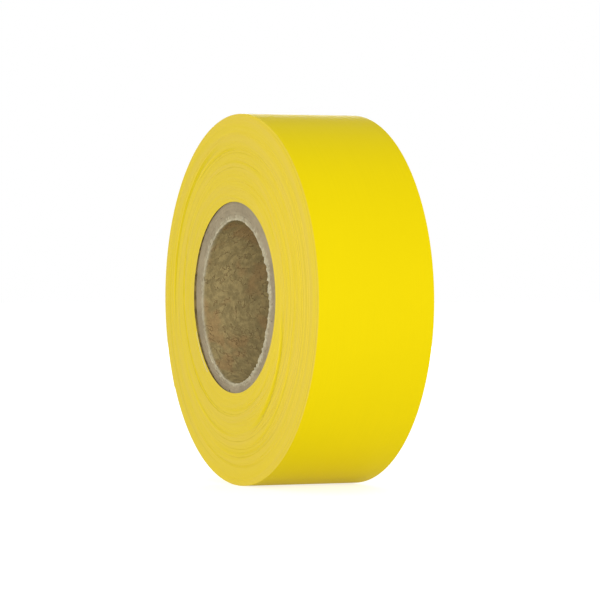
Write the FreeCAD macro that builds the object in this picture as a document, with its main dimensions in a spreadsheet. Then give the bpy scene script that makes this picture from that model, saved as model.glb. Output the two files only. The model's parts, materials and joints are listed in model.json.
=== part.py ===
"""Roll of surveyor's flagging tape: one strip of thin PVC film wound on a spiral paper core.

Frame: millimetres, +Z up. The roll stands on its rim with its axis along Y. The origin is the centre of the
core's bore, halfway along it. Angles round the roll are in degrees from +X towards +Z.

The core is seven plies of board wound one on another, each with a helical butt seam. The first turn of film is
held to the core by an adhesive strip. The film's turns are grouped from the core outwards; each group stands a
little further along +Y than the one inside it, so the winding is slightly coned. The film's free end lies in a
shallow step of the outermost group and is made of short links, hinged to each other along the outer surface.
"""

import FreeCAD
import Part
import Sketcher

import os

PLY_COUNT = 7
GROUP_COUNT = 9
LINK_COUNT = 10

# alias, value, meaning
DIMENSIONS = [
    ("tape_width", 30.0, "width of the film, and length of the core"),
    ("roll_diameter", 90.0, "outside of the wound film"),
    ("bore_diameter", 40.0, "inside of the core"),
    ("ply_thickness", 0.5, "board of each ply of the core"),
    ("seam_gap", 0.4, "open width of each ply's butt seam, along the roll's axis"),
    ("seam_pitch", 94.0, "advance along the axis of a seam in one whole turn"),
    ("seam_start", 300.0, "angle of the liner's seam"),
    ("seam_stagger", 137.0, "angle from one ply's seam to the next ply's"),
    ("strip_thickness", 0.1, "adhesive strip between the core and the first turn"),
    ("strip_length", 12.0, "the strip's length round the core"),
    ("strip_start", 200.0, "angle where the strip starts"),
    ("core_recess", 0.3, "how far the core's -Y end lies inside the innermost group's"),
    ("cone_step", 0.19, "shift along +Y of each group from the one inside it"),
    ("slip_gap", 0.05, "radial gap between groups of turns, one film thickness"),
    ("film_thickness", 0.05, "the film"),
    ("peel_line", 110.0, "angle where the free end leaves the roll"),
    ("link_arc", 10.0, "angle that one link of the free end covers"),
    ("end_slit", 1.0, "angle left open past the film's cut end"),
    ("overrun", 1.0, "how far a cutting shape runs past what it cuts"),
]

CORE_RADIUS = f"(Dimensions.bore_diameter / 2 + {PLY_COUNT} * Dimensions.ply_thickness)"
ROLL_RADIUS = "(Dimensions.roll_diameter / 2)"
GROUP_DEPTH = f"(({ROLL_RADIUS} - {CORE_RADIUS}) / {GROUP_COUNT})"
TAIL_FLOOR = f"({ROLL_RADIUS} - Dimensions.film_thickness)"
STRIP_TOP = f"({CORE_RADIUS} + Dimensions.strip_thickness)"
STRIP_ARC = f"(Dimensions.strip_length / {CORE_RADIUS} * 180 / pi)"


# rough sizes that a sketch is drawn with, before its named dimensions set it: mm, radians and degrees
FIRST_RADII = (20, 30)
FIRST_SPAN = 0.5
FIRST_TURN = 1
FIRST_NEAR, FIRST_FAR = 18, 22
FIRST_START, FIRST_GAP = 17, 1


def make_dimensions(doc):
    """The spreadsheet that holds the driving dimensions."""
    sheet = doc.addObject("Spreadsheet::Sheet", "Dimensions")
    for row, (alias, value, meaning) in enumerate(DIMENSIONS, start=1):
        sheet.set(f"A{row}", alias)
        sheet.set(f"B{row}", str(value))
        sheet.setAlias(f"B{row}", alias)
        sheet.set(f"C{row}", meaning)
    doc.recompute()
    return sheet


def make_body(doc, label):
    """An empty body whose label is the sub-part's name."""
    body = doc.addObject("PartDesign::Body", label)
    body.Label = label
    return body


def add_sketch(body, name, plane_role):
    """A sketch on one of the body's own origin planes."""
    plane = next(f for f in body.Origin.OriginFeatures if f.Role == plane_role)
    sketch = body.newObject("Sketcher::SketchObject", f"{body.Name}_{name}")
    sketch.AttachmentSupport = [(plane, "")]
    sketch.MapMode = "FlatFace"
    return sketch


def name_constraint(sketch, index, name, expression):
    """Names a dimension of a sketch and ties it to the spreadsheet."""
    sketch.renameConstraint(index, name)
    sketch.setExpression(f"Constraints.{name}", expression)


def add_ring_sketch(body, inner_radius, outer_radius):
    """Two circles round the roll's axis."""
    sketch = add_sketch(body, "ring", "XZ_Plane")
    for index, (name, expression) in enumerate((("inner", inner_radius), ("outer", outer_radius))):
        first_radius = FIRST_RADII[index]
        circle = Part.Circle(FreeCAD.Vector(0, 0, 0), FreeCAD.Vector(0, 0, 1), first_radius)
        sketch.addGeometry(circle, False)
        sketch.addConstraint(Sketcher.Constraint("Coincident", index, 3, -1, 1))
        radius = sketch.addConstraint(Sketcher.Constraint("Radius", index, first_radius))
        name_constraint(sketch, radius, name, expression)
    return sketch


def add_sector_sketch(body, name, inner_radius, outer_radius, start, span):
    """A piece of a ring, from the angle start round through span."""
    sketch = add_sketch(body, name, "XZ_Plane")
    turned = FreeCAD.Rotation(FreeCAD.Vector(0, 0, 1), FIRST_TURN)
    sketch.AttachmentOffset = FreeCAD.Placement(FreeCAD.Vector(0, 0, 0), turned)
    sketch.setExpression("AttachmentOffset.Rotation.Angle", start)
    centre = FreeCAD.Vector(0, 0, 0)
    normal = FreeCAD.Vector(0, 0, 1)
    circles = [Part.Circle(centre, normal, radius) for radius in FIRST_RADII]
    arcs = [Part.ArcOfCircle(circle, 0, FIRST_SPAN) for circle in circles]
    corners = [(arc.StartPoint, arc.EndPoint) for arc in arcs]
    inner_arc = sketch.addGeometry(arcs[0], False)
    outer_arc = sketch.addGeometry(arcs[1], False)
    first_side = sketch.addGeometry(Part.LineSegment(corners[0][0], corners[1][0]), False)
    last_side = sketch.addGeometry(Part.LineSegment(corners[0][1], corners[1][1]), False)
    for arc in (inner_arc, outer_arc):
        sketch.addConstraint(Sketcher.Constraint("Coincident", arc, 3, -1, 1))
    for side, arc_end in ((first_side, 1), (last_side, 2)):
        sketch.addConstraint(Sketcher.Constraint("Coincident", side, 1, inner_arc, arc_end))
        sketch.addConstraint(Sketcher.Constraint("Coincident", side, 2, outer_arc, arc_end))
        sketch.addConstraint(Sketcher.Constraint("PointOnObject", -1, 1, side))
    sketch.addConstraint(Sketcher.Constraint("Horizontal", first_side))
    inner = sketch.addConstraint(Sketcher.Constraint("Radius", inner_arc, FIRST_RADII[0]))
    name_constraint(sketch, inner, "inner", inner_radius)
    outer = sketch.addConstraint(Sketcher.Constraint("Radius", outer_arc, FIRST_RADII[1]))
    name_constraint(sketch, outer, "outer", outer_radius)
    angle = sketch.addConstraint(Sketcher.Constraint("Angle", last_side, FIRST_SPAN))
    name_constraint(sketch, angle, "span", span)
    return sketch


def add_pad(body, sketch):
    """The sketch drawn out to the film's width, half on each side."""
    pad = body.newObject("PartDesign::Pad", f"{body.Name}_pad")
    pad.Profile = sketch
    pad.Midplane = True
    pad.setExpression("Length", "Dimensions.tape_width")
    return pad


def add_through_pocket(body, sketch):
    """The sketch cut right through the body, both ways."""
    pocket = body.newObject("PartDesign::Pocket", f"{body.Name}_pocket")
    pocket.Profile = sketch
    pocket.Midplane = True
    pocket.setExpression("Length", "Dimensions.tape_width + 2 * Dimensions.overrun")
    return pocket


def turn_body(body, angle):
    """Turns the whole body about the roll's axis, from +X towards +Z."""
    turned = FreeCAD.Rotation(FreeCAD.Vector(0, -1, 0), FIRST_TURN)
    body.Placement = FreeCAD.Placement(FreeCAD.Vector(0, 0, 0), turned)
    body.setExpression("Placement.Rotation.Angle", angle)


def group_shift(group):
    """Where a group of turns lies along Y: the first is the innermost."""
    return f"Dimensions.cone_step * {group - 1} - Dimensions.core_recess"


def make_ply(doc, number, label):
    """One ply of the core: a thin tube, open along a helical butt seam."""
    body = make_body(doc, label)
    inner = f"(Dimensions.bore_diameter / 2 + {number - 1} * Dimensions.ply_thickness)"
    outer = f"(Dimensions.bore_diameter / 2 + {number} * Dimensions.ply_thickness)"
    add_pad(body, add_ring_sketch(body, inner, outer))
    seam_sketch = add_seam_sketch(body, inner, outer)
    doc.recompute()
    whole = body.Shape.Volume
    seam = body.newObject("PartDesign::SubtractiveHelix", f"{body.Name}_seam")
    seam.Profile = seam_sketch
    seam.ReferenceAxis = (seam_sketch, ["V_Axis"])
    seam.Mode = "pitch-height-angle"
    seam.setExpression("Pitch", "Dimensions.seam_pitch")
    seam.setExpression("Height", "Dimensions.tape_width + 2 * Dimensions.overrun")
    turn_body(body, f"Dimensions.seam_start + {number - 1} * Dimensions.seam_stagger")
    doc.recompute()
    require_cut(body, whole)
    return body


def add_seam_sketch(body, inner_radius, outer_radius):
    """The seam's cross-section in a plane through the axis, just below the tube's -Y end."""
    sketch = add_sketch(body, "seam_section", "XY_Plane")
    top = FIRST_GAP - FIRST_START
    corners = [
        FreeCAD.Vector(FIRST_NEAR, -FIRST_START, 0),
        FreeCAD.Vector(FIRST_FAR, -FIRST_START, 0),
        FreeCAD.Vector(FIRST_FAR, top, 0),
        FreeCAD.Vector(FIRST_NEAR, top, 0),
    ]
    for index in range(4):
        sketch.addGeometry(Part.LineSegment(corners[index], corners[(index + 1) % 4]), False)
    for index in range(4):
        sketch.addConstraint(Sketcher.Constraint("Coincident", index, 2, (index + 1) % 4, 1))
    for index, direction in enumerate(("Horizontal", "Vertical", "Horizontal", "Vertical")):
        sketch.addConstraint(Sketcher.Constraint(direction, index))
    # the section reaches half a ply past each face of the tube
    reach = "Dimensions.ply_thickness / 2"
    near = sketch.addConstraint(Sketcher.Constraint("DistanceX", -1, 1, 0, 1, FIRST_NEAR))
    name_constraint(sketch, near, "near_side", f"{inner_radius} - {reach}")
    far = sketch.addConstraint(Sketcher.Constraint("DistanceX", -1, 1, 0, 2, FIRST_FAR))
    name_constraint(sketch, far, "far_side", f"{outer_radius} + {reach}")
    start = sketch.addConstraint(Sketcher.Constraint("DistanceY", 0, 1, -1, 1, FIRST_START))
    name_constraint(sketch, start, "start", "Dimensions.tape_width / 2 + Dimensions.overrun")
    gap = sketch.addConstraint(Sketcher.Constraint("DistanceY", 1, 1, 1, 2, FIRST_GAP))
    name_constraint(sketch, gap, "gap", "Dimensions.seam_gap")
    return sketch


def make_start_strip(doc):
    """The adhesive strip that holds the first turn of film to the core."""
    body = make_body(doc, "start_strip")
    sketch = add_sector_sketch(
        body, "strip", CORE_RADIUS, STRIP_TOP, "Dimensions.strip_start", STRIP_ARC
    )
    add_pad(body, sketch)
    body.setExpression("Placement.Base.y", group_shift(1))
    return body


def make_group(doc, group):
    """One group of turns, from the innermost, 1, to the outermost."""
    body = make_body(doc, f"turns_{group}")
    inner = f"({CORE_RADIUS} + {group - 1} * {GROUP_DEPTH})"
    outer = f"({CORE_RADIUS} + {group} * {GROUP_DEPTH} - Dimensions.slip_gap)"
    if group == GROUP_COUNT:
        outer = ROLL_RADIUS
    add_pad(body, add_ring_sketch(body, inner, outer))
    doc.recompute()
    whole = body.Shape.Volume
    if group == 1:
        under = f"({CORE_RADIUS} - Dimensions.overrun)"
        room = add_sector_sketch(
            body, "strip_room", under, STRIP_TOP, "Dimensions.strip_start", STRIP_ARC
        )
        add_through_pocket(body, room)
    if group == GROUP_COUNT:
        over = f"({ROLL_RADIUS} + Dimensions.overrun)"
        span = f"{LINK_COUNT} * Dimensions.link_arc + Dimensions.end_slit"
        step = add_sector_sketch(body, "end_step", TAIL_FLOOR, over, "Dimensions.peel_line", span)
        add_through_pocket(body, step)
    body.setExpression("Placement.Base.y", group_shift(group))
    doc.recompute()
    if group in (1, GROUP_COUNT):
        require_cut(body, whole)
    return body


def make_link(doc, number):
    """One link of the film's free end, the first at the peel line."""
    body = make_body(doc, f"tail_{number}")
    start = f"Dimensions.peel_line + {number - 1} * Dimensions.link_arc"
    sketch = add_sector_sketch(
        body, "link", TAIL_FLOOR, ROLL_RADIUS, start, "Dimensions.link_arc"
    )
    add_pad(body, sketch)
    body.setExpression("Placement.Base.y", group_shift(GROUP_COUNT))
    return body


def require_cut(body, volume_before):
    """A cut that points away from its solid removes nothing and raises no error."""
    if not body.Shape.Volume < volume_before:
        raise RuntimeError(f"{body.Label}: the cut removed nothing")


def check_document(doc, bodies):
    """Stops before anything is written if an object failed or a shape isn't a sound solid."""
    for item in doc.Objects:
        if "Invalid" in item.State or "Error" in item.State:
            raise RuntimeError(f"{item.Label} failed: {item.State}")
    for body in bodies:
        shape = body.Shape
        if shape.isNull() or not shape.isValid() or len(shape.Solids) != 1:
            raise RuntimeError(f"{body.Label} isn't one valid solid")


def main():
    """Builds every body, checks them all and writes each to its own STEP file."""
    doc = FreeCAD.newDocument("flagging_tape_roll")
    make_dimensions(doc)
    ply_labels = ["core_liner"] + [f"core_ply_{n}" for n in range(2, PLY_COUNT)] + ["core_wrap"]
    bodies = [make_ply(doc, number, label) for number, label in enumerate(ply_labels, start=1)]
    bodies.append(make_start_strip(doc))
    bodies += [make_group(doc, group) for group in range(1, GROUP_COUNT + 1)]
    bodies += [make_link(doc, number) for number in range(1, LINK_COUNT + 1)]
    doc.recompute()
    check_document(doc, bodies)
    os.makedirs("parts", exist_ok=True)
    for body in bodies:
        body.Shape.exportStep(f"parts/{body.Label}.step")
        print(f"{body.Label}: {body.Shape.Volume:.2f} mm3")


main()
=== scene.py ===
import json
import math
import random

import bmesh
import bpy
from bpy.props import FloatProperty, FloatVectorProperty, IntProperty, PointerProperty
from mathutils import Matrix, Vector, noise


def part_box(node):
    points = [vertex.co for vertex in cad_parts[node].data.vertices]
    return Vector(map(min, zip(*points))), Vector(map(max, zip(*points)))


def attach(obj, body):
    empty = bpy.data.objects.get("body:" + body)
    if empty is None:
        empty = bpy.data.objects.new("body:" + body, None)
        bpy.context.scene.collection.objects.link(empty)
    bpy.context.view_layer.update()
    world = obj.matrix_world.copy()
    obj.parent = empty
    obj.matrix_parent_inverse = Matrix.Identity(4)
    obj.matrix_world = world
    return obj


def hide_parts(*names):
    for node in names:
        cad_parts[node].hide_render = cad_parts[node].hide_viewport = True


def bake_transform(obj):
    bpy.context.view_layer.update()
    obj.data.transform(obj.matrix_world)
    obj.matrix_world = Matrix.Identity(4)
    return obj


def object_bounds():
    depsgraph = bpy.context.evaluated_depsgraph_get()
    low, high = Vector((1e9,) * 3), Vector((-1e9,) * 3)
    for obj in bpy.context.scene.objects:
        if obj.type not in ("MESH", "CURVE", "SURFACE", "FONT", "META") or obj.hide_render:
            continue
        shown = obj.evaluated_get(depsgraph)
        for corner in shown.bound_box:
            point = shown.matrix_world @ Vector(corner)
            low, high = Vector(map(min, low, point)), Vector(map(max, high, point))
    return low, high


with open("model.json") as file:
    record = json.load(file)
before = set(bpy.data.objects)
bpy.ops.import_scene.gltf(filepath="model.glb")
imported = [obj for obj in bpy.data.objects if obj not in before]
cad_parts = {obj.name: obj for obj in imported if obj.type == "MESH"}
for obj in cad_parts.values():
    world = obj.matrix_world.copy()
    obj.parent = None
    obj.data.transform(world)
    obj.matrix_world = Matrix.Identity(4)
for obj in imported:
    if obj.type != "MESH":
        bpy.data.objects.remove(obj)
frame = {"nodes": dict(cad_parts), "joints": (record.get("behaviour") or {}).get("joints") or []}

CAD_BOX = [list(corner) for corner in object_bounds()]

bl_info = {
    "name": "Flagging Tape Roll",
    "version": (1, 0, 0),
    "blender": (4, 5, 0),
    "location": "View3D > Sidebar > Tape Roll",
    "description": "Models a roll of surveyor's flagging tape on a wound paper core",
    "category": "Add Mesh",
}

# The roll lies along Y. Places on it are given by a radius and by an angle from +X towards +Z. Its near side
# is at -Y and its far side at +Y. Lengths are in metres.

MM = 0.001
COLUMNS = 360  # one column of faces for each degree round the roll
SHARP_ANGLE = math.radians(35)  # a bend sharper than this is shaded as an edge
MERGE_DISTANCE = 0.0005 * MM


def node_numbers(stem):
    """The numbers of the nodes called stem_1, stem_2 and so on."""
    return sorted(int(n[len(stem) + 1:]) for n in frame["nodes"] if n.startswith(stem + "_"))


def node_radii(node):
    """The smallest and largest distance of a node's corners from the roll's axis."""
    distances = [math.hypot(v.co.x, v.co.z) for v in frame["nodes"][node].data.vertices]
    return min(distances), max(distances)


def joint_angle(joint_name):
    """Where round the roll a hinge lies, in degrees."""
    joint = next(j for j in frame["joints"] if j["name"] == joint_name)
    x, _, z = joint["pos_m"]
    return math.degrees(math.atan2(z, x)) % 360


GROUPS = node_numbers("turns")
LINKS = node_numbers("tail")
PLIES = ["core_liner"] + [f"core_ply_{n}" for n in node_numbers("core_ply")] + ["core_wrap"]
CORE_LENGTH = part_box("core_wrap")[1].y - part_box("core_wrap")[0].y
CORE_RADIUS = node_radii("core_wrap")[1]
BORE_RADIUS = node_radii("core_liner")[0]
ROLL_RADIUS = node_radii(f"turns_{GROUPS[-1]}")[1]
FILM_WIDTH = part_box("tail_1")[1].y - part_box("tail_1")[0].y
OUTER_SHIFT = (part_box("tail_1")[1].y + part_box("tail_1")[0].y) / 2
NEAR_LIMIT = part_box(f"turns_{GROUPS[0]}")[0].y
FILM_THICKNESS = node_radii("tail_1")[1] - node_radii("tail_1")[0]
PEEL_ANGLE = joint_angle("peel_1")
LINK_ARC = joint_angle("peel_2") - PEEL_ANGLE
END_ANGLE = PEEL_ANGLE + LINK_ARC * len(LINKS)


# ---------------------------------------------------------------- settings


class TapeFilmSettings(bpy.types.PropertyGroup):
    """Sizes and colours of the wound film"""

    surface_colour: FloatVectorProperty(
        name="Film", description="Colour of the film's own surface", subtype="COLOR", size=3,
        min=0, max=1, default=(0.868, 0.684, 0.002),
    )
    edge_colour: FloatVectorProperty(
        name="Edges", description="Colour of the film's cut edges where the turns stack up",
        subtype="COLOR", size=3, min=0, max=1, default=(0.79, 0.605, 0.037),
    )
    edge_pale: FloatVectorProperty(
        name="Pale turns", description="Colour of the palest, dustiest turns in the stack",
        subtype="COLOR", size=3, min=0, max=1, default=(0.78, 0.592, 0.060),
    )
    # Painted shade: the darker, more saturated colour of the sunken turns and the medium streaks, standing
    # in for shade in the grooves.
    edge_groove_shade: FloatVectorProperty(
        name="Sunken turns", description="Colour of turns that lie deeper than their neighbours",
        subtype="COLOR", size=3, min=0, max=1, default=(0.735, 0.575, 0.001),
    )
    edge_line: FloatVectorProperty(
        name="Fine lines", description="Colour of the fine darker lines between turns",
        subtype="COLOR", size=3, min=0, max=1, default=(0.62, 0.47, 0.010),
    )
    ridge_width: FloatProperty(
        name="Ridge width", description="Radial width of one visible ridge of turns",
        default=0.27 * MM, min=0.05 * MM, max=1 * MM, unit="LENGTH",
    )
    ridge_jitter: FloatProperty(
        name="Ridge jitter", description="How far one ridge lies from the next along the axis",
        default=0.03 * MM, min=0, max=0.3 * MM, unit="LENGTH",
    )
    wander: FloatProperty(
        name="Wander", description="Slow drift of the winding's edge along the axis",
        default=0.05 * MM, min=0, max=0.5 * MM, unit="LENGTH",
    )
    groove_depth: FloatProperty(
        name="Groove depth", description="How deep the sunken turns lie",
        default=0.22 * MM, min=0, max=0.6 * MM, unit="LENGTH",
    )
    end_lift: FloatProperty(
        name="End lift", description="How far the far corner of the film's cut end stands off the roll",
        default=0.9 * MM, min=0, max=2 * MM, unit="LENGTH",
    )


class TapeCoreSettings(bpy.types.PropertyGroup):
    """Sizes and colours of the paper core"""

    board_colour: FloatVectorProperty(
        name="Board", description="Colour of the plies' cut edges", subtype="COLOR", size=3,
        min=0, max=1, default=(0.355, 0.293, 0.190),
    )
    torn_colour: FloatVectorProperty(
        name="Torn fibre", description="Colour of the torn fibres along the lip of the bore",
        subtype="COLOR", size=3, min=0, max=1, default=(0.54, 0.49, 0.335),
    )
    bore_colour: FloatVectorProperty(
        name="Bore", description="Colour of the liner's face inside the bore", subtype="COLOR", size=3,
        min=0, max=1, default=(0.352, 0.276, 0.124),
    )
    # Painted shadow: the dark colour laid on the first turn's inner wall where the film meets the core.
    painted_shadow_colour: FloatVectorProperty(
        name="Glue line", description="Colour of the adhesive between the core and the first turn",
        subtype="COLOR", size=3, min=0, max=1, default=(0.17, 0.125, 0.045),
    )
    strip_colour: FloatVectorProperty(
        name="Strip", description="Colour of the adhesive strip under the first turn", subtype="COLOR",
        size=3, min=0, max=1, default=(0.70, 0.64, 0.48),
    )
    recess: FloatProperty(
        name="Recess", description="How far the core's edge lies inside its cut length",
        default=0.22 * MM, min=0, max=1 * MM, unit="LENGTH",
    )
    fray: FloatProperty(
        name="Fray", description="Unevenness of the torn lip along the axis",
        default=0.5 * MM, min=0, max=1 * MM, unit="LENGTH",
    )
    lip_drop: FloatProperty(
        name="Lip drop", description="How far the crushed lip of the bore lies below the bore's centre",
        default=0.5 * MM, min=0, max=2 * MM, unit="LENGTH",
    )
    lip_inset: FloatProperty(
        name="Lip inset", description="How far the lip of the bore is pressed inwards",
        default=0.25 * MM, min=0, max=1 * MM, unit="LENGTH",
    )
    lip_bulge: FloatProperty(
        name="Lip bulge", description="How far the lip stands in on its lower side towards +X",
        default=0.9 * MM, min=0, max=2 * MM, unit="LENGTH",
    )
    lip_depth: FloatProperty(
        name="Lip depth", description="How far along the axis the crushed lip reaches",
        default=3.5 * MM, min=0.5 * MM, max=10 * MM, unit="LENGTH",
    )


class TapeStageSettings(bpy.types.PropertyGroup):
    """Camera, lights and floor"""

    azimuth: FloatProperty(
        name="Azimuth", description="Camera's direction round the roll, 0 looking along +Y",
        default=math.radians(64.81), subtype="ANGLE", unit="ROTATION",
    )
    elevation: FloatProperty(
        name="Elevation", description="Camera's angle above the horizon",
        default=math.radians(0.8), subtype="ANGLE", unit="ROTATION",
    )
    distance: FloatProperty(
        name="Distance", description="From the camera to the place that it looks at",
        default=0.9487, min=0.1, max=5, unit="LENGTH",
    )
    lens: FloatProperty(
        name="Lens", description="Focal length in millimetres", default=233.7, min=20, max=500,
    )
    floor_colour: FloatVectorProperty(
        name="Floor", description="Colour of the floor", subtype="COLOR", size=3,
        min=0, max=1, default=(0.60, 0.60, 0.60),
    )
    floor_glow: FloatProperty(
        name="Floor glow", description="Even light that the floor gives off", default=0.24, min=0,
    )
    floor_white: FloatProperty(
        name="Floor white", description="Extra brightness of the floor as it is seen", default=0.45, min=0,
    )
    aim_right: FloatProperty(
        name="Aim right", description="How far right of the roll's middle the camera looks",
        default=1.254 * MM, unit="LENGTH",
    )
    aim_up: FloatProperty(
        name="Aim up", description="How far above the roll's middle the camera looks",
        default=-0.10 * MM, unit="LENGTH",
    )
    room_light: FloatProperty(
        name="Room light", description="Brightness of the even light from all round", default=0.58, min=0,
    )
    key_power: FloatProperty(
        name="Key light", description="Power of the soft light beside the camera", default=11.7, min=0,
    )
    back_power: FloatProperty(
        name="Back light", description="Power of the soft light behind the roll", default=6.0, min=0,
    )
    floor_sides: IntProperty(
        name="Floor sides", description="Number of sides of the round floor", default=64, min=8,
    )


# ---------------------------------------------------------------- materials


class NodeSheet:
    """A material's node tree, with short ways to add and join nodes."""

    def __init__(self, name):
        self.material = bpy.data.materials.new(name)
        self.material.use_nodes = True
        self.tree = self.material.node_tree
        self.shader = self.tree.nodes["Principled BSDF"]

    def node(self, kind, **settings):
        made = self.tree.nodes.new(kind)
        for key, value in settings.items():
            setattr(made, key, value)
        return made

    def feed(self, target, value):
        """Joins a socket to another, or sets it to a plain value."""
        if isinstance(value, bpy.types.NodeSocket):
            self.tree.links.new(value, target)
        else:
            target.default_value = value

    def math(self, operation, first, second=0.0):
        made = self.node("ShaderNodeMath", operation=operation)
        self.feed(made.inputs[0], first)
        self.feed(made.inputs[1], second)
        return made.outputs[0]

    def mix(self, share, first, second):
        made = self.node("ShaderNodeMix", data_type="RGBA")
        self.feed(made.inputs["Factor"], share)
        self.feed(made.inputs["A"], colour(first))
        self.feed(made.inputs["B"], colour(second))
        return made.outputs["Result"]

    def times(self, value, factor):
        return self.math("MULTIPLY", value, factor)

    def ramp(self, value, low, high):
        """0 at low, 1 at high, with level ends."""
        made = self.node("ShaderNodeMapRange", clamp=True, interpolation_type="SMOOTHSTEP")
        self.feed(made.inputs["Value"], value)
        made.inputs["From Min"].default_value = low
        made.inputs["From Max"].default_value = high
        return made.outputs["Result"]

    def noise(self, vector, scale=1.0, detail=2.0, roughness=0.5):
        made = self.node("ShaderNodeTexNoise")
        self.feed(made.inputs["Vector"], vector)
        made.inputs["Scale"].default_value = scale
        made.inputs["Detail"].default_value = detail
        made.inputs["Roughness"].default_value = roughness
        return made.outputs["Fac"]

    def place(self):
        """Where a point of the piece lies."""
        return self.node("ShaderNodeTexCoord").outputs["Object"]

    def along_axis(self):
        """The place along the roll's axis, the near side negative."""
        parts = self.node("ShaderNodeSeparateXYZ")
        self.feed(parts.inputs[0], self.place())
        return parts.outputs["Y"]

    def round_place(self, turn_scale, radius_scale=0, axis_scale=0):
        """Coordinates that follow the winding: slow round the roll, and as fast as asked across it."""
        parts = self.node("ShaderNodeSeparateXYZ")
        self.feed(parts.inputs[0], self.place())
        x, y, z = parts.outputs
        flat = self.node("ShaderNodeCombineXYZ")
        self.feed(flat.inputs[0], x)
        self.feed(flat.inputs[2], z)
        length = self.node("ShaderNodeVectorMath", operation="LENGTH")
        self.feed(length.inputs[0], flat.outputs[0])
        radius = length.outputs["Value"]
        direction = self.node("ShaderNodeVectorMath", operation="NORMALIZE")
        self.feed(direction.inputs[0], flat.outputs[0])
        around = self.node("ShaderNodeVectorMath", operation="SCALE")
        self.feed(around.inputs[0], direction.outputs[0])
        around.inputs["Scale"].default_value = turn_scale
        across = self.node("ShaderNodeCombineXYZ")
        self.feed(across.inputs[0], self.times(radius, radius_scale))
        self.feed(across.inputs[1], self.times(y, axis_scale))
        total = self.node("ShaderNodeVectorMath", operation="ADD")
        self.feed(total.inputs[0], around.outputs[0])
        self.feed(total.inputs[1], across.outputs[0])
        return total.outputs[0]

    def attribute(self, name):
        return self.node("ShaderNodeAttribute", attribute_name=name).outputs["Fac"]

    def bump(self, height, distance, strength=1.0, normal=None):
        made = self.node("ShaderNodeBump")
        made.inputs["Strength"].default_value = strength
        made.inputs["Distance"].default_value = distance
        self.feed(made.inputs["Height"], height)
        if normal is not None:
            self.feed(made.inputs["Normal"], normal)
        return made.outputs["Normal"]

    def finish(self, base, roughness, specular, normal=None):
        self.feed(self.shader.inputs["Base Color"], base)
        self.feed(self.shader.inputs["Roughness"], roughness)
        self.shader.inputs["Specular IOR Level"].default_value = specular
        if normal is not None:
            self.feed(self.shader.inputs["Normal"], normal)
        return self.material


BLACK, WHITE = (0, 0, 0), (1, 1, 1)
REDDISH = (1.08, 0.84, 0.80)


def colour(value):
    """A colour socket takes four numbers, a setting holds three."""
    if isinstance(value, bpy.types.NodeSocket):
        return value
    return (*value, 1.0) if len(value) == 3 else tuple(value)


def shade(value, factor):
    """The same colour, darker or lighter."""
    return tuple(min(1.0, part * factor) for part in value)


def film_surface_material(film):
    """Satin PVC film: even, saturated, with faint stretch lines that run round the roll."""
    sheet = NodeSheet("film_surface")
    base = tuple(film.surface_colour)
    faint = shade(base, 0.985)
    lines = sheet.noise(sheet.round_place(turn_scale=2.0, axis_scale=2600), detail=3.0, roughness=0.55)
    cloud = sheet.noise(sheet.place(), scale=45.0)
    wave = sheet.noise(sheet.round_place(turn_scale=5.0, axis_scale=220))
    tone = sheet.mix(sheet.ramp(lines, low=0.35, high=0.75), base, faint)
    tone = sheet.mix(sheet.ramp(cloud, low=0.35, high=0.7), tone, faint)
    roughness = sheet.math("ADD", sheet.times(lines, 0.10), 0.34)
    relief = sheet.bump(wave, distance=0.05 * MM, strength=0.25)
    relief = sheet.bump(lines, distance=0.004 * MM, strength=0.2, normal=relief)
    return sheet.finish(tone, roughness, specular=0.035, normal=relief)


def film_edge_material(film):
    """The stacked edges of the film: matt, pastel, with fine rings that come and go round the roll, and
    painted shade in the sunken turns.
    """
    sheet = NodeSheet("film_edges")
    pale, deep, line = tuple(film.edge_pale), tuple(film.edge_groove_shade), tuple(film.edge_line)
    broad = sheet.noise(sheet.round_place(turn_scale=1.3, radius_scale=420), roughness=0.6)
    medium = sheet.noise(sheet.round_place(turn_scale=2.6, radius_scale=1500), detail=3.0, roughness=0.6)
    fine = sheet.noise(sheet.round_place(turn_scale=4.0, radius_scale=6500), detail=3.0, roughness=0.65)
    patch = sheet.noise(sheet.place(), scale=38.0, detail=3.0, roughness=0.55)
    fine_lines = sheet.times(sheet.ramp(fine, low=0.56, high=0.75), sheet.ramp(patch, low=0.42, high=0.62))
    tone = sheet.mix(sheet.ramp(broad, low=0.38, high=0.68), tuple(film.edge_colour), pale)
    # The medium streaks and the sunken turns are painted towards the groove colour: painted shade in the
    # grooves.
    tone = sheet.mix(sheet.times(sheet.ramp(medium, low=0.52, high=0.72), 0.30), tone, deep)
    tone = sheet.mix(sheet.times(fine_lines, 0.22), tone, line)
    tone = sheet.mix(sheet.attribute("sunken"), tone, deep)
    tone = sheet.mix(sheet.attribute("seam_line"), tone, line)
    roughness = sheet.math("ADD", sheet.times(fine, 0.2), 0.42)
    relief = sheet.bump(fine, distance=0.04 * MM, strength=0.5)
    relief = sheet.bump(medium, distance=0.06 * MM, strength=0.35, normal=relief)
    return sheet.finish(tone, roughness, specular=0.12, normal=relief)


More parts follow.
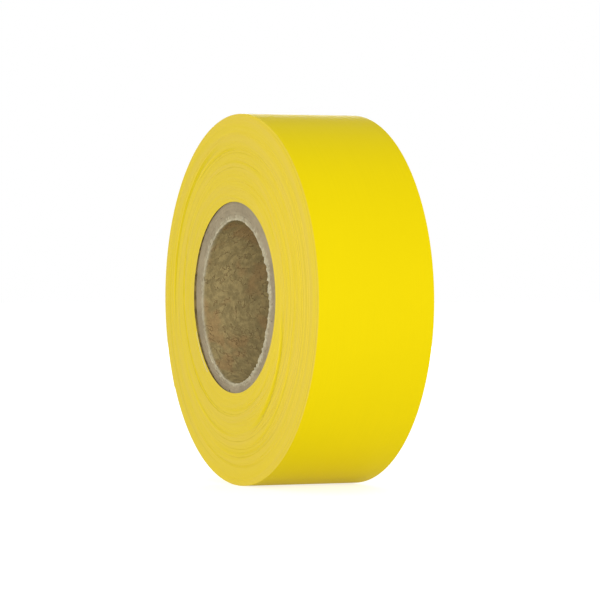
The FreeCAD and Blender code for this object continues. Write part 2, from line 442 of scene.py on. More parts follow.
def board_material(core):
    """Grey-brown board: short fibres, ply lines, and pale torn fibres where the lip is frayed."""
    sheet = NodeSheet("core_board")
    base, torn = tuple(core.board_colour), tuple(core.torn_colour)
    fibre = sheet.noise(sheet.place(), scale=900.0, detail=4.0, roughness=0.6)
    cloud = sheet.noise(sheet.place(), scale=160.0, detail=3.0, roughness=0.55)
    plies = sheet.noise(sheet.round_place(turn_scale=1.5, radius_scale=4200))
    tone = sheet.mix(sheet.ramp(cloud, low=0.3, high=0.7), shade(base, 0.90), shade(base, 1.12))
    tone = sheet.mix(sheet.times(sheet.ramp(plies, low=0.45, high=0.7), 0.35), tone, shade(base, 0.80))
    tone = sheet.mix(sheet.times(sheet.ramp(fibre, low=0.5, high=0.7), 0.25), tone, shade(base, 1.3))
    torn_fibre = sheet.mix(sheet.ramp(fibre, low=0.35, high=0.65), shade(torn, 0.80), shade(torn, 1.12))
    tone = sheet.mix(sheet.attribute("torn"), tone, torn_fibre)
    relief = sheet.bump(fibre, distance=0.12 * MM, strength=0.6)
    return sheet.finish(tone, roughness=0.9, specular=0.15, normal=relief)


def bore_material(core):
    """The liner's kraft face: mottled, wrinkled and flecked, with reddish patches, painted shade along its
    creases, and painted shade that darkens it deep inside.
    """
    sheet = NodeSheet("core_bore")
    base = tuple(core.bore_colour)
    red = tuple(part * factor for part, factor in zip(base, REDDISH))
    fibre = sheet.noise(sheet.place(), scale=2300.0, detail=4.0, roughness=0.65)
    mottle = sheet.noise(sheet.place(), scale=620.0, detail=4.0, roughness=0.62)
    patch = sheet.noise(sheet.place(), scale=150.0)
    contour = sheet.noise(sheet.place(), scale=230.0, detail=4.0, roughness=0.6)
    # The creases are painted a darker red-brown: painted shade in the wrinkles over the reddish tint.
    off_contour = sheet.math("ABSOLUTE", sheet.math("SUBTRACT", contour, 0.5))
    crease = sheet.ramp(off_contour, low=0.025, high=0.0)
    crease = sheet.times(crease, sheet.ramp(mottle, low=0.40, high=0.55))
    # Painted shade: the bore darkens towards its far end, as shade deep inside the tube.
    deep = sheet.ramp(sheet.along_axis(), low=-13 * MM, high=9 * MM)
    tone = sheet.mix(sheet.ramp(mottle, low=0.34, high=0.66), shade(base, 0.80), shade(base, 1.20))
    tone = sheet.mix(sheet.times(sheet.ramp(patch, low=0.50, high=0.64), 0.55), tone, red)
    tone = sheet.mix(sheet.times(crease, 0.58), tone, shade(red, 0.45))
    tone = sheet.mix(sheet.times(sheet.ramp(fibre, low=0.54, high=0.70), 0.5), tone, shade(base, 0.55))
    tone = sheet.mix(sheet.times(deep, 0.24), tone, BLACK)
    tone = sheet.mix(sheet.attribute("torn"), tone, tuple(core.torn_colour))
    relief = sheet.bump(mottle, distance=0.30 * MM, strength=0.8)
    relief = sheet.bump(crease, distance=0.20 * MM, strength=0.6, normal=relief)
    relief = sheet.bump(fibre, distance=0.08 * MM, strength=0.8, normal=relief)
    return sheet.finish(tone, roughness=0.92, specular=0.12, normal=relief)


def painted_shadow_material(core):
    """A painted shadow where the first turn meets the core: a dark, mottled line on the film's inner wall
    that stands in for shade in the gap.
    """
    sheet = NodeSheet("painted_shadow_line")
    base = tuple(core.painted_shadow_colour)
    dust = sheet.noise(sheet.place(), scale=900.0, detail=3.0)
    tone = sheet.mix(sheet.ramp(dust, low=0.3, high=0.7), shade(base, 0.7), shade(base, 1.5))
    relief = sheet.bump(dust, distance=0.05 * MM, strength=0.5)
    return sheet.finish(tone, roughness=0.8, specular=0.2, normal=relief)


def strip_material(core):
    """Pale paper tape with a light crepe."""
    sheet = NodeSheet("start_strip")
    base = tuple(core.strip_colour)
    crepe = sheet.noise(sheet.round_place(turn_scale=60.0, axis_scale=400))
    tone = sheet.mix(crepe, shade(base, 0.88), shade(base, 1.08))
    relief = sheet.bump(crepe, distance=0.03 * MM, strength=0.5)
    return sheet.finish(tone, roughness=0.8, specular=0.2, normal=relief)


def floor_material(stage):
    """A plain pale floor that gives off a little even light, and more where it is seen."""
    sheet = NodeSheet("floor")
    base = tuple(stage.floor_colour)
    grain = sheet.noise(sheet.place(), scale=30.0)
    seen = sheet.node("ShaderNodeLightPath").outputs["Is Camera Ray"]
    glow = sheet.math("ADD", sheet.times(seen, stage.floor_white), stage.floor_glow)
    sheet.shader.inputs["Emission Color"].default_value = (*WHITE, 1)
    sheet.feed(sheet.shader.inputs["Emission Strength"], glow)
    return sheet.finish(sheet.mix(grain, shade(base, 0.99), base), roughness=0.9, specular=0.1)


# ---------------------------------------------------------------- shared shaping


def smooth_step(value, low, high):
    """0 at low, 1 at high, with level ends."""
    share = min(1.0, max(0.0, (value - low) / (high - low)))
    return share * share * (3 - 2 * share)


def angle_hump(angle, centre, half_width):
    """1 at the centre, falling smoothly to 0 at half_width either side, in degrees round the roll."""
    away = (angle - centre + 180) % 360 - 180
    return 1 - smooth_step(abs(away), 0, half_width)


def angle_of(point):
    """Where a point lies round the roll, in degrees from +X towards +Z."""
    return math.degrees(math.atan2(point.z, point.x)) % 360


def at_radius(point, radius):
    """Moves a point straight out or in to the given distance from the axis."""
    factor = radius / math.hypot(point.x, point.z)
    point.x *= factor
    point.z *= factor


def face_outwards(builder):
    """Turns the faces of a closed shape so that they all point out of it."""
    bmesh.ops.recalc_face_normals(builder, faces=builder.faces)
    if builder.calc_volume(signed=True) < 0:
        bmesh.ops.reverse_faces(builder, faces=builder.faces)
    builder.normal_update()


def new_piece(name, mesh_builder, materials):
    """Makes a finished object from a bmesh: at the origin, smooth, with its sharp edges marked."""
    mesh = bpy.data.meshes.new(name)
    mesh_builder.to_mesh(mesh)
    mesh_builder.free()
    for material in materials:
        mesh.materials.append(material)
    mesh.shade_smooth()
    mesh.set_sharp_from_angle(angle=SHARP_ANGLE)
    piece = bpy.data.objects.new(name, mesh)
    bpy.context.scene.collection.objects.link(piece)
    return piece


def spin_profile(points, columns=COLUMNS):
    """Turns a closed outline of (radius, place along the axis) once round the roll."""
    builder = bmesh.new()
    corners = [builder.verts.new((radius, along, 0)) for radius, along in points]
    edges = [builder.edges.new((corners[i - 1], corners[i])) for i in range(len(corners))]
    bmesh.ops.spin(
        builder, geom=corners + edges, cent=(0, 0, 0), axis=(0, -1, 0), dvec=(0, 0, 0),
        angle=math.tau, steps=columns, use_merge=True, use_normal_flip=False, use_duplicate=False,
    )
    bmesh.ops.remove_doubles(builder, verts=builder.verts, dist=MERGE_DISTANCE)
    return builder


# ---------------------------------------------------------------- the wound film

# Turns that lie deeper than their neighbours. Each row: radius, half width, middle angle, half arc,
# share of the full depth, and how fast its radius grows with the angle, per degree.
GROOVES = [
    (38.5 * MM, 0.85 * MM, 148, 50, 1.0, -0.012 * MM),
    (36.9 * MM, 0.5 * MM, 110, 24, 0.6, 0.02 * MM),
    (37.2 * MM, 0.6 * MM, 275, 30, 0.35, 0),
    (29.6 * MM, 0.75 * MM, 318, 40, 0.95, -0.085 * MM),
    (33.7 * MM, 0.5 * MM, 240, 34, 0.45, -0.02 * MM),
    (30.5 * MM, 0.45 * MM, 200, 62, 0.75, -0.034 * MM),
    (41.6 * MM, 0.5 * MM, 190, 45, 0.4, 0),
    (40.2 * MM, 0.4 * MM, 262, 34, 0.35, 0.01 * MM),
    (26.9 * MM, 0.4 * MM, 290, 34, 0.4, -0.02 * MM),
    (34.6 * MM, 0.45 * MM, 312, 36, 0.45, -0.05 * MM),
    (33.2 * MM, 0.35 * MM, 84, 26, 0.35, 0.03 * MM),
]
# Fine darker lines between two turns, in the same form; the fifth number is the strength.
LINES = [
    (31.0 * MM, 0.16 * MM, 200, 80, 1.0, -0.034 * MM),
    (30.3 * MM, 0.15 * MM, 320, 44, 0.8, -0.085 * MM),
    (39.1 * MM, 0.15 * MM, 146, 40, 0.9, -0.012 * MM),
    (44.15 * MM, 0.13 * MM, 10, 75, 0.55, 0),
    (32.0 * MM, 0.12 * MM, 97, 22, 0.6, 0.02 * MM),
    (35.6 * MM, 0.12 * MM, 95, 35, 0.4, 0.01 * MM),
    (34.2 * MM, 0.12 * MM, 280, 45, 0.6, -0.02 * MM),
    (38.0 * MM, 0.12 * MM, 285, 35, 0.5, -0.01 * MM),
    (28.4 * MM, 0.12 * MM, 262, 40, 0.5, -0.03 * MM),
    (36.2 * MM, 0.12 * MM, 255, 40, 0.4, 0),
    (41.9 * MM, 0.12 * MM, 215, 50, 0.5, 0),
    (26.6 * MM, 0.12 * MM, 30, 50, 0.35, 0.01 * MM),
    (33.5 * MM, 0.12 * MM, 20, 45, 0.3, -0.01 * MM),
]
RING_PLATEAU = 0.45  # share of a ring's half width that has its full strength
ARC_PLATEAU = 0.4  # the same for its half arc
MOST_DRIFT = 6 * MM  # no ring's radius grows or shrinks by more than this
CONE_CURVE = 1.3  # the coned winding steepens towards the core
DRIFT_ROUND, DRIFT_ACROSS = 1.4, 3.2 * MM  # how fast the slow drift changes round and across the roll
RIDGE_SEED = 100
RIDGE_SLOPE = 0.2  # share of a ridge's width that its rounded edge takes up
WALL_CLEARANCE = 0.004 * MM
RIM_ROWS = 24
SEAT_RISE = 0.6 * MM
SEAT_OVAL = 0.4 * MM
SEAT_REACH = 38 * MM
OVERHANG = 0.35 * MM  # the first turns reach in over the core's edge
OVERHANG_DEPTH = 0.22 * MM
OVERHANG_CHAMFER = 0.3
# How far out from the core the first turn's inner wall carries the painted shadow line.
PAINTED_SHADOW_REACH = 0.9 * MM
STEP_ARC = 1  # degrees over which the outermost turn drops one film, where the free end begins
RISE_START, RISE_END = 2, 355  # from this far past the free end, and up to this angle, it rises again
FILM_FACE, EDGE_FACE, PAINTED_SHADOW_FACE = 0, 1, 2
SIDE_FACING = 0.5  # the stacked edges turn more than this towards the roll's ends
SLOPE_HEIGHT = 0.5  # share of the jitter that a ridge's foot lies back


def near_rings(rings, inner, outer):
    """The grooves or lines that may reach between two radii."""
    return [ring for ring in rings if inner - MOST_DRIFT < ring[0] < outer + MOST_DRIFT]


def ring_share(rings, radius, angle):
    """How strongly a groove or line shows at this place, from 0 to 1."""
    share = 0.0
    for middle, half_width, centre, half_arc, strength, growth in rings:
        away = (angle - centre + 180) % 360 - 180
        off = abs(radius - middle - growth * away)
        if off < half_width and abs(away) < half_arc:
            across = 1 - smooth_step(off, RING_PLATEAU * half_width, half_width)
            along = 1 - smooth_step(abs(away), ARC_PLATEAU * half_arc, half_arc)
            share = max(share, across * along * strength)
    return share


def cone_shift(radius):
    """The coned winding: how far along the axis the turns at this radius lie."""
    share = (ROLL_RADIUS - radius) / (ROLL_RADIUS - CORE_RADIUS)
    return OUTER_SHIFT - (OUTER_SHIFT - (NEAR_LIMIT + FILM_WIDTH / 2)) * max(0, share) ** CONE_CURVE


def winding_shift(radius, angle, film, sunken=0.0):
    """How far along the axis one turn lies at this angle: cone, slow drift and sunken turns together."""
    turn = math.radians(angle)
    place = Vector((DRIFT_ROUND * math.cos(turn), radius / DRIFT_ACROSS, DRIFT_ROUND * math.sin(turn)))
    drift = film.wander * noise.noise(place)
    return cone_shift(radius) + drift + film.groove_depth * sunken


def ridge_shifts(group, count, film):
    """A fixed random shift for each ridge of a group."""
    draw = random.Random(RIDGE_SEED + group)
    return [film.ridge_jitter * draw.uniform(-1, 1) for _ in range(count)]


def group_outline(inner, outer, group, film):
    """The closed outline of one group: ridged along both sides, plain where it faces its neighbours."""
    count = max(3, round((outer - inner) / film.ridge_width))
    shifts = ridge_shifts(group, count, film)
    pitch = (outer - inner) / count
    side = []
    for index, shift in enumerate(shifts):
        foot = inner + index * pitch
        side.append((foot, shift + SLOPE_HEIGHT * film.ridge_jitter))
        side.append((foot + RIDGE_SLOPE * pitch, shift))
        side.append((foot + (1 - RIDGE_SLOPE) * pitch, shift))
    side.append((outer, shifts[-1] + SLOPE_HEIGHT * film.ridge_jitter))
    half = FILM_WIDTH / 2
    near = [(radius, -half + shift) for radius, shift in side]
    far = [(radius, half + shift) for radius, shift in side]
    rows = RIM_ROWS if group == GROUPS[-1] else 1
    wall = [(outer, near[-1][1] + (far[-1][1] - near[-1][1]) * row / rows) for row in range(1, rows)]
    outline = near + wall + list(reversed(far))
    if group == GROUPS[0]:
        edge, reach = near[0][1], inner - OVERHANG
        shelf = edge + OVERHANG_DEPTH
        chamfer = edge + OVERHANG_CHAMFER * OVERHANG_DEPTH
        outline = [(inner, shelf), (reach, shelf), (reach, chamfer)] + outline
    return outline


def core_share(radius):
    """1 at the core, falling to 0 well out in the roll."""
    return 1 - smooth_step(radius, CORE_RADIUS, SEAT_REACH)


def seat_on_core(point, angle, share):
    """The core and the turns near it lie a little high and are slightly oval."""
    point.x += SEAT_OVAL * (1 + math.cos(math.radians(angle))) * share
    point.z += SEAT_RISE * share


def outer_radius_at(angle):
    """The outermost turn: one film lower under the free end, and back up on the way round."""
    under_end = smooth_step(angle, PEEL_ANGLE - STEP_ARC, PEEL_ANGLE)
    rising = smooth_step(angle, END_ANGLE + RISE_START, RISE_END)
    return ROLL_RADIUS - FILM_THICKNESS * under_end * (1 - rising)


def faces_axis(face):
    """True where a face looks inwards, at the roll's axis."""
    middle = face.calc_center_median()
    return face.normal.x * middle.x + face.normal.z * middle.z < 0


def wind_group(group, film, materials):
    """One group of turns, from its node's own radii. The first is held by the core."""
    node = f"turns_{group}"
    inner, outer = node_radii(node)
    is_first, is_last = group == GROUPS[0], group == GROUPS[-1]
    inner = CORE_RADIUS if is_first else inner
    outer = outer if is_last else node_radii(f"turns_{group + 1}")[0] - WALL_CLEARANCE
    builder = spin_profile(group_outline(inner, outer, group, film))
    sunken_layer = builder.verts.layers.float.new("sunken")
    line_layer = builder.verts.layers.float.new("seam_line")
    grooves = near_rings(GROOVES, inner, outer)
    lines = near_rings(LINES, inner, outer)
    for vertex in builder.verts:
        radius = math.hypot(vertex.co.x, vertex.co.z)
        angle = angle_of(vertex.co)
        sunken = ring_share(grooves, radius, angle)
        # The sunken share also carries the painted groove shade into the edge material.
        vertex[sunken_layer] = sunken
        vertex[line_layer] = ring_share(lines, radius, angle)
        vertex.co.y += winding_shift(radius, angle, film, sunken)
        if is_first and radius < inner - OVERHANG / 2:
            at_radius(vertex.co, inner - OVERHANG * math.sin(math.radians(angle)) ** 2)
        if is_last and radius > outer - FILM_THICKNESS / 2:
            at_radius(vertex.co, outer_radius_at(angle))
        seat_on_core(vertex.co, angle, core_share(radius))
    face_outwards(builder)
    for face in builder.faces:
        corner = face.verts[0].co
        if abs(face.normal.y) > SIDE_FACING:
            face.material_index = EDGE_FACE
        # The first turn's inner wall near the core gets the painted shadow line.
        elif is_first and math.hypot(corner.x, corner.z) < inner + PAINTED_SHADOW_REACH and faces_axis(face):
            face.material_index = PAINTED_SHADOW_FACE
        else:
            face.material_index = FILM_FACE
    piece = new_piece(f"film_turns_{group}", builder, materials)
    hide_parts(node)
    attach(piece, "core" if is_first else node)


# ---------------------------------------------------------------- the film's free end

TAIL_STEPS_PER_LINK = 20
TAIL_ROWS = 30
SHEET_SHARE = 0.9  # share of the film's thickness that the free end is drawn with
LIFT_ARC = 7  # degrees over which the cut end stands off the roll
LIFT_NEAR = 0.15  # share of the lift that the near corner has
CUT_SETBACK = 0.2  # degrees
CUT_SKEW = 1.6  # degrees that the cut runs back across the film
CUT_WOBBLE = 0.10
CUT_PLACE = (9, 0.3, 0.7)  # how fast the wobble runs across the film, and where in the noise it lies
LIFT_FROM = 0.1  # share of the way across where the lift begins to grow


def end_lift(angle, along, film):
    """How far the film's cut end stands off the roll: most at its far corner."""
    reach = smooth_step(angle, END_ANGLE - LIFT_ARC, END_ANGLE)
    across = LIFT_NEAR + (1 - LIFT_NEAR) * smooth_step(along, LIFT_FROM, 1)
    return film.end_lift * reach * reach * across


def end_trim(along):
    """The angle of the hand-cut end at a share of the way across the film: skewed and a little uneven."""
    pace, *fixed = CUT_PLACE
    wobble = CUT_WOBBLE * noise.noise(Vector((along * pace, *fixed)))
    return END_ANGLE - CUT_SETBACK - CUT_SKEW * along + wobble


def lay_film(first, last, film, cut_end=False):
    """A stretch of the free end between two angles, as one thin closed sheet that lies on the roll."""
    steps = max(2, round((last - first) / LINK_ARC * TAIL_STEPS_PER_LINK))
    builder = bmesh.new()
    bmesh.ops.create_grid(builder, x_segments=steps, y_segments=TAIL_ROWS, size=1)
    under = bmesh.ops.extrude_face_region(builder, geom=builder.faces[:])["geom"]
    under = {item for item in under if isinstance(item, bmesh.types.BMVert)}
    for vertex in builder.verts:
        way = (vertex.co.x + 1) / 2
        across = (vertex.co.y + 1) / 2
        stop = end_trim(across) if cut_end else last
        angle = first + (stop - first) * way
        turn = math.radians(angle)
        radius = ROLL_RADIUS + end_lift(angle, across, film)
        if vertex in under:
            radius -= SHEET_SHARE * FILM_THICKNESS
        along = FILM_WIDTH * (across - 0.5) + winding_shift(ROLL_RADIUS, angle, film)
        vertex.co = (radius * math.cos(turn), along, radius * math.sin(turn))
    face_outwards(builder)
    return builder


def lay_free_end(film, materials):
    """The free end: one piece round each hinge, laid on the roll, and a last one that holds the cut end and
    goes with the last link.
    """
    bodies = [f"turns_{GROUPS[-1]}"] + [f"tail_{n}" for n in LINKS]
    last_hinge = PEEL_ANGLE + LINK_ARC * (len(LINKS) - 1)
    half = LINK_ARC / 2
    for number in LINKS:
        hinge = PEEL_ANGLE + LINK_ARC * (number - 1)
        first = hinge if number == LINKS[0] else hinge - half
        piece = new_piece(f"film_end_{number}", lay_film(first, hinge + half, film), materials)
        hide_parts(f"tail_{number}")
        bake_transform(piece)
    cut = lay_film(last_hinge + half, END_ANGLE, film, cut_end=True)
    piece = new_piece("film_end_cut", cut, materials)
    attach(piece, bodies[-1])


# ---------------------------------------------------------------- the paper core

PLY_COLUMNS = 400
PLY_ROWS = 22  # they crowd towards both ends
END_BAND = 0.12  # share of the length, at each end, that the uneven end is worked into
FAR_END_TURN = 120  # the far end's unevenness is the near end's, turned by this much
# The helical seams of the plies, close to where the solids have them. Angles are in degrees.
SEAM_START = 300
SEAM_STAGGER = 137
SEAM_PITCH = 94 * MM
SEAM_ROOM = 1 * MM  # a seam is counted from this far beyond the core's near end
SEAM_GAP = 0.4 * MM  # its open width, round the ply
PLY_CLEARANCE = 0.01 * MM
BOARD_FACE, BORE_FACE = 0, 1
WALL_FACING = 0.7  # the liner's wall turns less than this towards the roll's ends

# Ragged fibre: the length of its grain, its share of the whole and its layer.
LAYER_STEP = 7.3  # between one layer and the next
FINE_TEAR, COARSE_TEAR = (0.9 * MM, 1.0, 20), (3.5 * MM, 0.7, 25)
FINE_TONE, COARSE_TONE = (0.7 * MM, 0.8, 31), (4 * MM, 0.6, 40)
END_GRAIN = 1.6 * MM

# Each place round the lip: its middle angle and half arc.
SUNK_PLACE = (215, 95)
TORN_PLACES = [(235, 60), (318, 46), (12, 50)]
BULGE_PLACES = [(325, 52, 1), (8, 40, 0.55)]  # and its share of the bulge
TORN_LEAST = 0.25  # how far the lip is torn between those places
TORN_PLIES = 3
TORN_BAND = (0.2 * MM, 1.2 * MM)  # torn fully up to the first depth, and not beyond the second
LINER_TEAR, PLY_TEAR = 1.15, 0.25  # how strongly the liner and the plies behind it are torn
RECESS_PLAIN, RECESS_SUNK = 0.6, 0.9  # shares of the recess all round, and more at the sunk place
FRAY_PLAIN = 0.4  # share of the fray that is there without a tear
FRAY_FALL = 0.75  # how much of the fray the outermost ply lacks
FIBRE_SHOWN, FIBRE_OPENED, FIBRE_FALL = 0.85, 0.45, 0.55  # torn fibre in the liner, in a tear, less per ply
FIBRE_BEHIND = 0.3  # share of it on a ply's outer face without a tear


def seam_angle(ply, along):
    """The helical butt seam of one ply."""
    return SEAM_START + SEAM_STAGGER * ply - (along + CORE_LENGTH / 2 + SEAM_ROOM) / SEAM_PITCH * 360


def ragged(angle, grain, layer):
    """Uneven torn fibre, about as coarse as the grain length, mostly between -1 and 1."""
    turn = math.radians(angle)
    size = CORE_RADIUS / grain
    return noise.fractal(Vector((size * math.cos(turn), size * math.sin(turn), LAYER_STEP * layer)), 1, 2, 3)


def ragged_pair(angle, fine, coarse, ply):
    """Fine fibre that differs from ply to ply, and coarse fibre that all of them share."""
    total = 0
    for (grain, share, layer), offset in ((fine, ply), (coarse, 0)):
        total += share * ragged(angle, grain, layer + offset)
    return total


def torn_share(angle):
    """How far the lip is torn open at this angle, from its least to 1."""
    return max(TORN_LEAST, *(angle_hump(angle, *place) for place in TORN_PLACES))


def end_recess(ply, angle, core):
    """How far one ply's end lies inside the core's cut length."""
    plain = core.recess * (RECESS_PLAIN + RECESS_SUNK * angle_hump(angle, *SUNK_PLACE))
    outer_share = ply / (len(PLIES) - 1)
    opened = FRAY_PLAIN + (1 - FRAY_PLAIN) * torn_share(angle)
    fray = core.fray * (1 - FRAY_FALL * outer_share) * opened
    return plain + fray * (1 + ragged(angle, END_GRAIN, ply)) / 2


def crush(point, core):
    """The core sits a little high in the film, and the lip of its bore is pressed inwards and down."""
    angle = angle_of(point)
    radius = math.hypot(point.x, point.z)
    outer_share = (radius - BORE_RADIUS) / (CORE_RADIUS - BORE_RADIUS)
    near_share = 1 - smooth_step(point.y + CORE_LENGTH / 2, 0, core.lip_depth)
    lip = near_share * (1 - outer_share)
    bulge = max(share * angle_hump(angle, centre, half_arc) for centre, half_arc, share in BULGE_PLACES)
    at_radius(point, radius - (core.lip_inset + core.lip_bulge * bulge) * lip)
    seat_on_core(point, angle, outer_share)
    point.z -= core.lip_drop * lip


def fray_lip(ply, angle, lip, is_inside, core):
    """How far a torn lip stands out from its ply, and how much torn fibre shows there."""
    opened = torn_share(angle % 360)
    spread = ragged_pair(angle, FINE_TEAR, COARSE_TEAR, ply)
    strength = LINER_TEAR if ply == 0 else PLY_TEAR
    standing = opened * core.fray * lip * spread * strength * is_inside
    patchy = ragged_pair(angle, FINE_TONE, COARSE_TONE, ply)
    shown = FIBRE_SHOWN + FIBRE_OPENED * opened - FIBRE_FALL * ply + patchy
    depth = 1 if is_inside else FIBRE_BEHIND + (1 - FIBRE_BEHIND) * opened
    return standing, lip * depth * min(1, max(0, shown))


def wrap_ply(ply, core, materials):
    """One paper ply: a flat strip bent into a tube between its two seam edges."""
    node = PLIES[ply]
    inner, outer = node_radii(node)
    outer -= PLY_CLEARANCE if ply < len(PLIES) - 1 else 0
    builder = bmesh.new()
    bmesh.ops.create_grid(builder, x_segments=PLY_COLUMNS, y_segments=PLY_ROWS, size=1)
    torn = builder.verts.layers.float.new("torn")
    inside = bmesh.ops.extrude_face_region(builder, geom=builder.faces[:])["geom"]
    inside = {item for item in inside if isinstance(item, bmesh.types.BMVert)}
    gap = math.degrees(SEAM_GAP / outer)
    for vertex in builder.verts:
        around = (vertex.co.x + 1) / 2
        across = 0.5 + 0.5 * math.sin(0.5 * math.pi * vertex.co.y)
        along = CORE_LENGTH * (across - 0.5)
        seam = seam_angle(ply, along)
        angle = seam + 0.5 * gap + (360 - gap) * around
        turn = math.radians(angle)
        near_end = 1 - smooth_step(across, 0, END_BAND)
        far_end = smooth_step(across, 1 - END_BAND, 1)
        if near_end > 0:
            along += near_end * end_recess(ply, angle % 360, core)
        if far_end > 0:
            along -= far_end * end_recess(ply, (angle + FAR_END_TURN) % 360, core)
        radius = inner if vertex in inside else outer
        lip = 1 - smooth_step(along + CORE_LENGTH / 2, *TORN_BAND)
        if lip > 0 and ply < TORN_PLIES:
            standing, vertex[torn] = fray_lip(ply, angle, lip, vertex in inside, core)
            radius += standing
        vertex.co = (radius * math.cos(turn), along, radius * math.sin(turn))
        crush(vertex.co, core)
    face_outwards(builder)
    if ply == 0:
        for face in builder.faces:
            is_wall = faces_axis(face) and abs(face.normal.y) < WALL_FACING
            face.material_index = BORE_FACE if is_wall else BOARD_FACE
    piece = new_piece(f"paper_{node.removeprefix('core_')}", builder, materials)
    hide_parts(node)
    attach(piece, "core")


# ---------------------------------------------------------------- the stage

FLOOR_RADIUS = 3
FLOOR_GAP = 0.02 * MM
SENSOR_WIDTH = 36  # in millimetres, as the lens is
VIEW_DEPTH = (0.01, 20)
# Each light: its direction round the roll and above the horizon in degrees, distance, width and height.
KEY_LIGHT = (50, 6.6, 1.3, 1.6, 0.36)
BACK_LIGHT = (230, 10, 1.3, 1.2, 0.4)


def stage_floor(stage):
    """A wide round floor at the roll's lowest line."""
    builder = bmesh.new()
    bmesh.ops.create_circle(builder, cap_ends=True, radius=FLOOR_RADIUS, segments=stage.floor_sides)
    bmesh.ops.translate(builder, verts=builder.verts, vec=(0, 0, CAD_BOX[0][2] - FLOOR_GAP))
    mesh = bpy.data.meshes.new("floor")
    builder.to_mesh(mesh)
    builder.free()
    mesh.materials.append(floor_material(stage))
    floor = bpy.data.objects.new("floor", mesh)
    bpy.context.scene.collection.objects.link(floor)


def direction(azimuth, elevation):
    """The unit vector from the roll towards a place round it."""
    level = math.cos(elevation)
    return Vector((math.sin(azimuth) * level, -math.cos(azimuth) * level, math.sin(elevation)))


def soft_light(name, placing, power):
    """A wide soft light that faces the roll."""
    azimuth, elevation, distance, width, height = placing
    light = bpy.data.lights.new(name, "AREA")
    light.shape = "RECTANGLE"
    light.size = width
    light.size_y = height
    light.energy = power
    holder = bpy.data.objects.new(name, light)
    way = direction(math.radians(azimuth), math.radians(elevation))
    holder.location = way * distance
    holder.rotation_euler = way.to_track_quat("Z", "Y").to_euler()
    bpy.context.scene.collection.objects.link(holder)


def stage_world(stage):
    """An even white room: bright behind the roll, dimmer as a light on it."""
    world = bpy.data.worlds.new("white_room")
    world.use_nodes = True
    tree = world.node_tree
    background = tree.nodes["Background"]
    background.inputs["Color"].default_value = (*WHITE, 1)
    path = tree.nodes.new("ShaderNodeLightPath")
    level = tree.nodes.new("ShaderNodeMapRange")
    level.inputs["To Min"].default_value = stage.room_light
    level.inputs["To Max"].default_value = 1.0
    tree.links.new(path.outputs["Is Camera Ray"], level.inputs["Value"])
    tree.links.new(level.outputs["Result"], background.inputs["Strength"])
    bpy.context.scene.world = world


def stage_camera(stage):
    """The camera looks at the middle of the outer turns, a little to one side."""
    toward = direction(stage.azimuth, stage.elevation)
    right = Vector((0, 0, 1)).cross(toward).normalized()
    aim = Vector((0, OUTER_SHIFT, 0)) + right * stage.aim_right + Vector((0, 0, stage.aim_up))
    data = bpy.data.cameras.new("camera")
    data.lens = stage.lens
    data.sensor_width = SENSOR_WIDTH
    data.clip_start, data.clip_end = VIEW_DEPTH
    camera = bpy.data.objects.new("camera", data)
    camera.location = aim + toward * stage.distance
    camera.rotation_euler = toward.to_track_quat("Z", "Y").to_euler()
    bpy.context.scene.collection.objects.link(camera)
    bpy.context.scene.camera = camera


# ---------------------------------------------------------------- operators


class TAPEROLL_OT_turns(bpy.types.Operator):
    """Wind the groups of turns"""

    bl_idname = "taperoll.turns"
    bl_label = "Wound film"

    def execute(self, context):
        film = context.scene.taperoll_film
        materials = [film_surface_material(film), film_edge_material(film),
                     painted_shadow_material(context.scene.taperoll_core)]
        for group in GROUPS:
            wind_group(group, film, materials)
        return {"FINISHED"}


class TAPEROLL_OT_free_end(bpy.types.Operator):
    """Lay the free end of the film on the roll"""

    bl_idname = "taperoll.free_end"
    bl_label = "Free end"

    def execute(self, context):
        lay_free_end(context.scene.taperoll_film, [bpy.data.materials["film_surface"]])
        return {"FINISHED"}


class TAPEROLL_OT_core(bpy.types.Operator):
    """Wrap the plies of the paper core and finish the adhesive strip on it"""

    bl_idname = "taperoll.core"
    bl_label = "Paper core"

    def execute(self, context):
        core = context.scene.taperoll_core
        materials = [board_material(core), bore_material(core)]
        for ply in range(len(PLIES)):
            wrap_ply(ply, core, materials)
        strip = frame["nodes"]["start_strip"]
        finish = strip_material(core)
        for place in strip.material_slots:
            place.material = finish
        return {"FINISHED"}


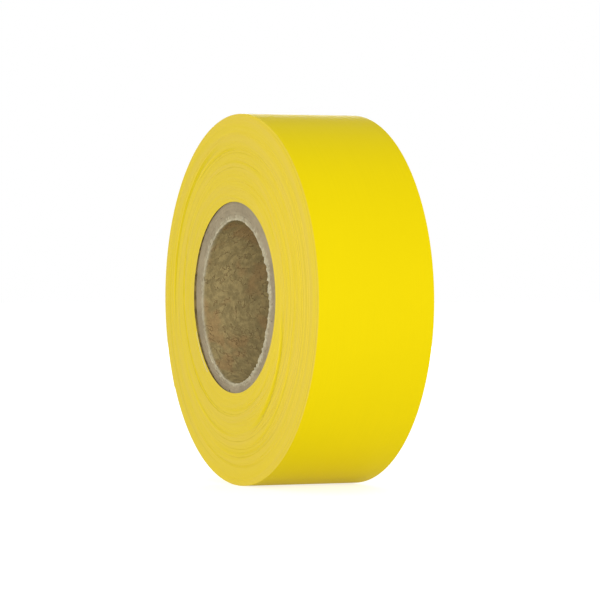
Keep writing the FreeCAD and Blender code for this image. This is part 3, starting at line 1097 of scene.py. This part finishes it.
class TAPEROLL_OT_stage(bpy.types.Operator):
    """Set up the floor, the lights and the camera"""

    bl_idname = "taperoll.stage"
    bl_label = "Stage"

    def execute(self, context):
        stage = context.scene.taperoll_stage
        context.scene.view_settings.view_transform = "Standard"
        stage_world(stage)
        stage_floor(stage)
        soft_light("key_light", KEY_LIGHT, stage.key_power)
        soft_light("back_light", BACK_LIGHT, stage.back_power)
        stage_camera(stage)
        return {"FINISHED"}


class TAPEROLL_PT_panel(bpy.types.Panel):
    """Lists the steps that build the roll, and its settings"""

    bl_label = "Tape Roll"
    bl_idname = "TAPEROLL_PT_panel"
    bl_space_type = "VIEW_3D"
    bl_region_type = "UI"
    bl_category = "Tape Roll"

    def draw(self, context):
        layout = self.layout
        for operator in OPERATORS:
            layout.operator(operator.bl_idname)
        for settings in (context.scene.taperoll_film, context.scene.taperoll_core,
                         context.scene.taperoll_stage):
            box = layout.box()
            for name in settings.bl_rna.properties.keys():
                if name not in {"rna_type", "name"}:
                    box.prop(settings, name)


SETTINGS = {
    "taperoll_film": TapeFilmSettings,
    "taperoll_core": TapeCoreSettings,
    "taperoll_stage": TapeStageSettings,
}
OPERATORS = [TAPEROLL_OT_turns, TAPEROLL_OT_free_end, TAPEROLL_OT_core, TAPEROLL_OT_stage]


def register():
    for settings in SETTINGS.values():
        bpy.utils.register_class(settings)
    for name, settings in SETTINGS.items():
        setattr(bpy.types.Scene, name, PointerProperty(type=settings))
    for operator in OPERATORS:
        bpy.utils.register_class(operator)
    bpy.utils.register_class(TAPEROLL_PT_panel)


def unregister():
    bpy.utils.unregister_class(TAPEROLL_PT_panel)
    for operator in reversed(OPERATORS):
        bpy.utils.unregister_class(operator)
    for name in SETTINGS:
        delattr(bpy.types.Scene, name)
    for settings in SETTINGS.values():
        bpy.utils.unregister_class(settings)


def main():
    """Builds the roll."""
    register()
    bpy.ops.taperoll.turns()
    bpy.ops.taperoll.free_end()
    bpy.ops.taperoll.core()
    bpy.ops.taperoll.stage()


if __name__ == "__main__":
    main()
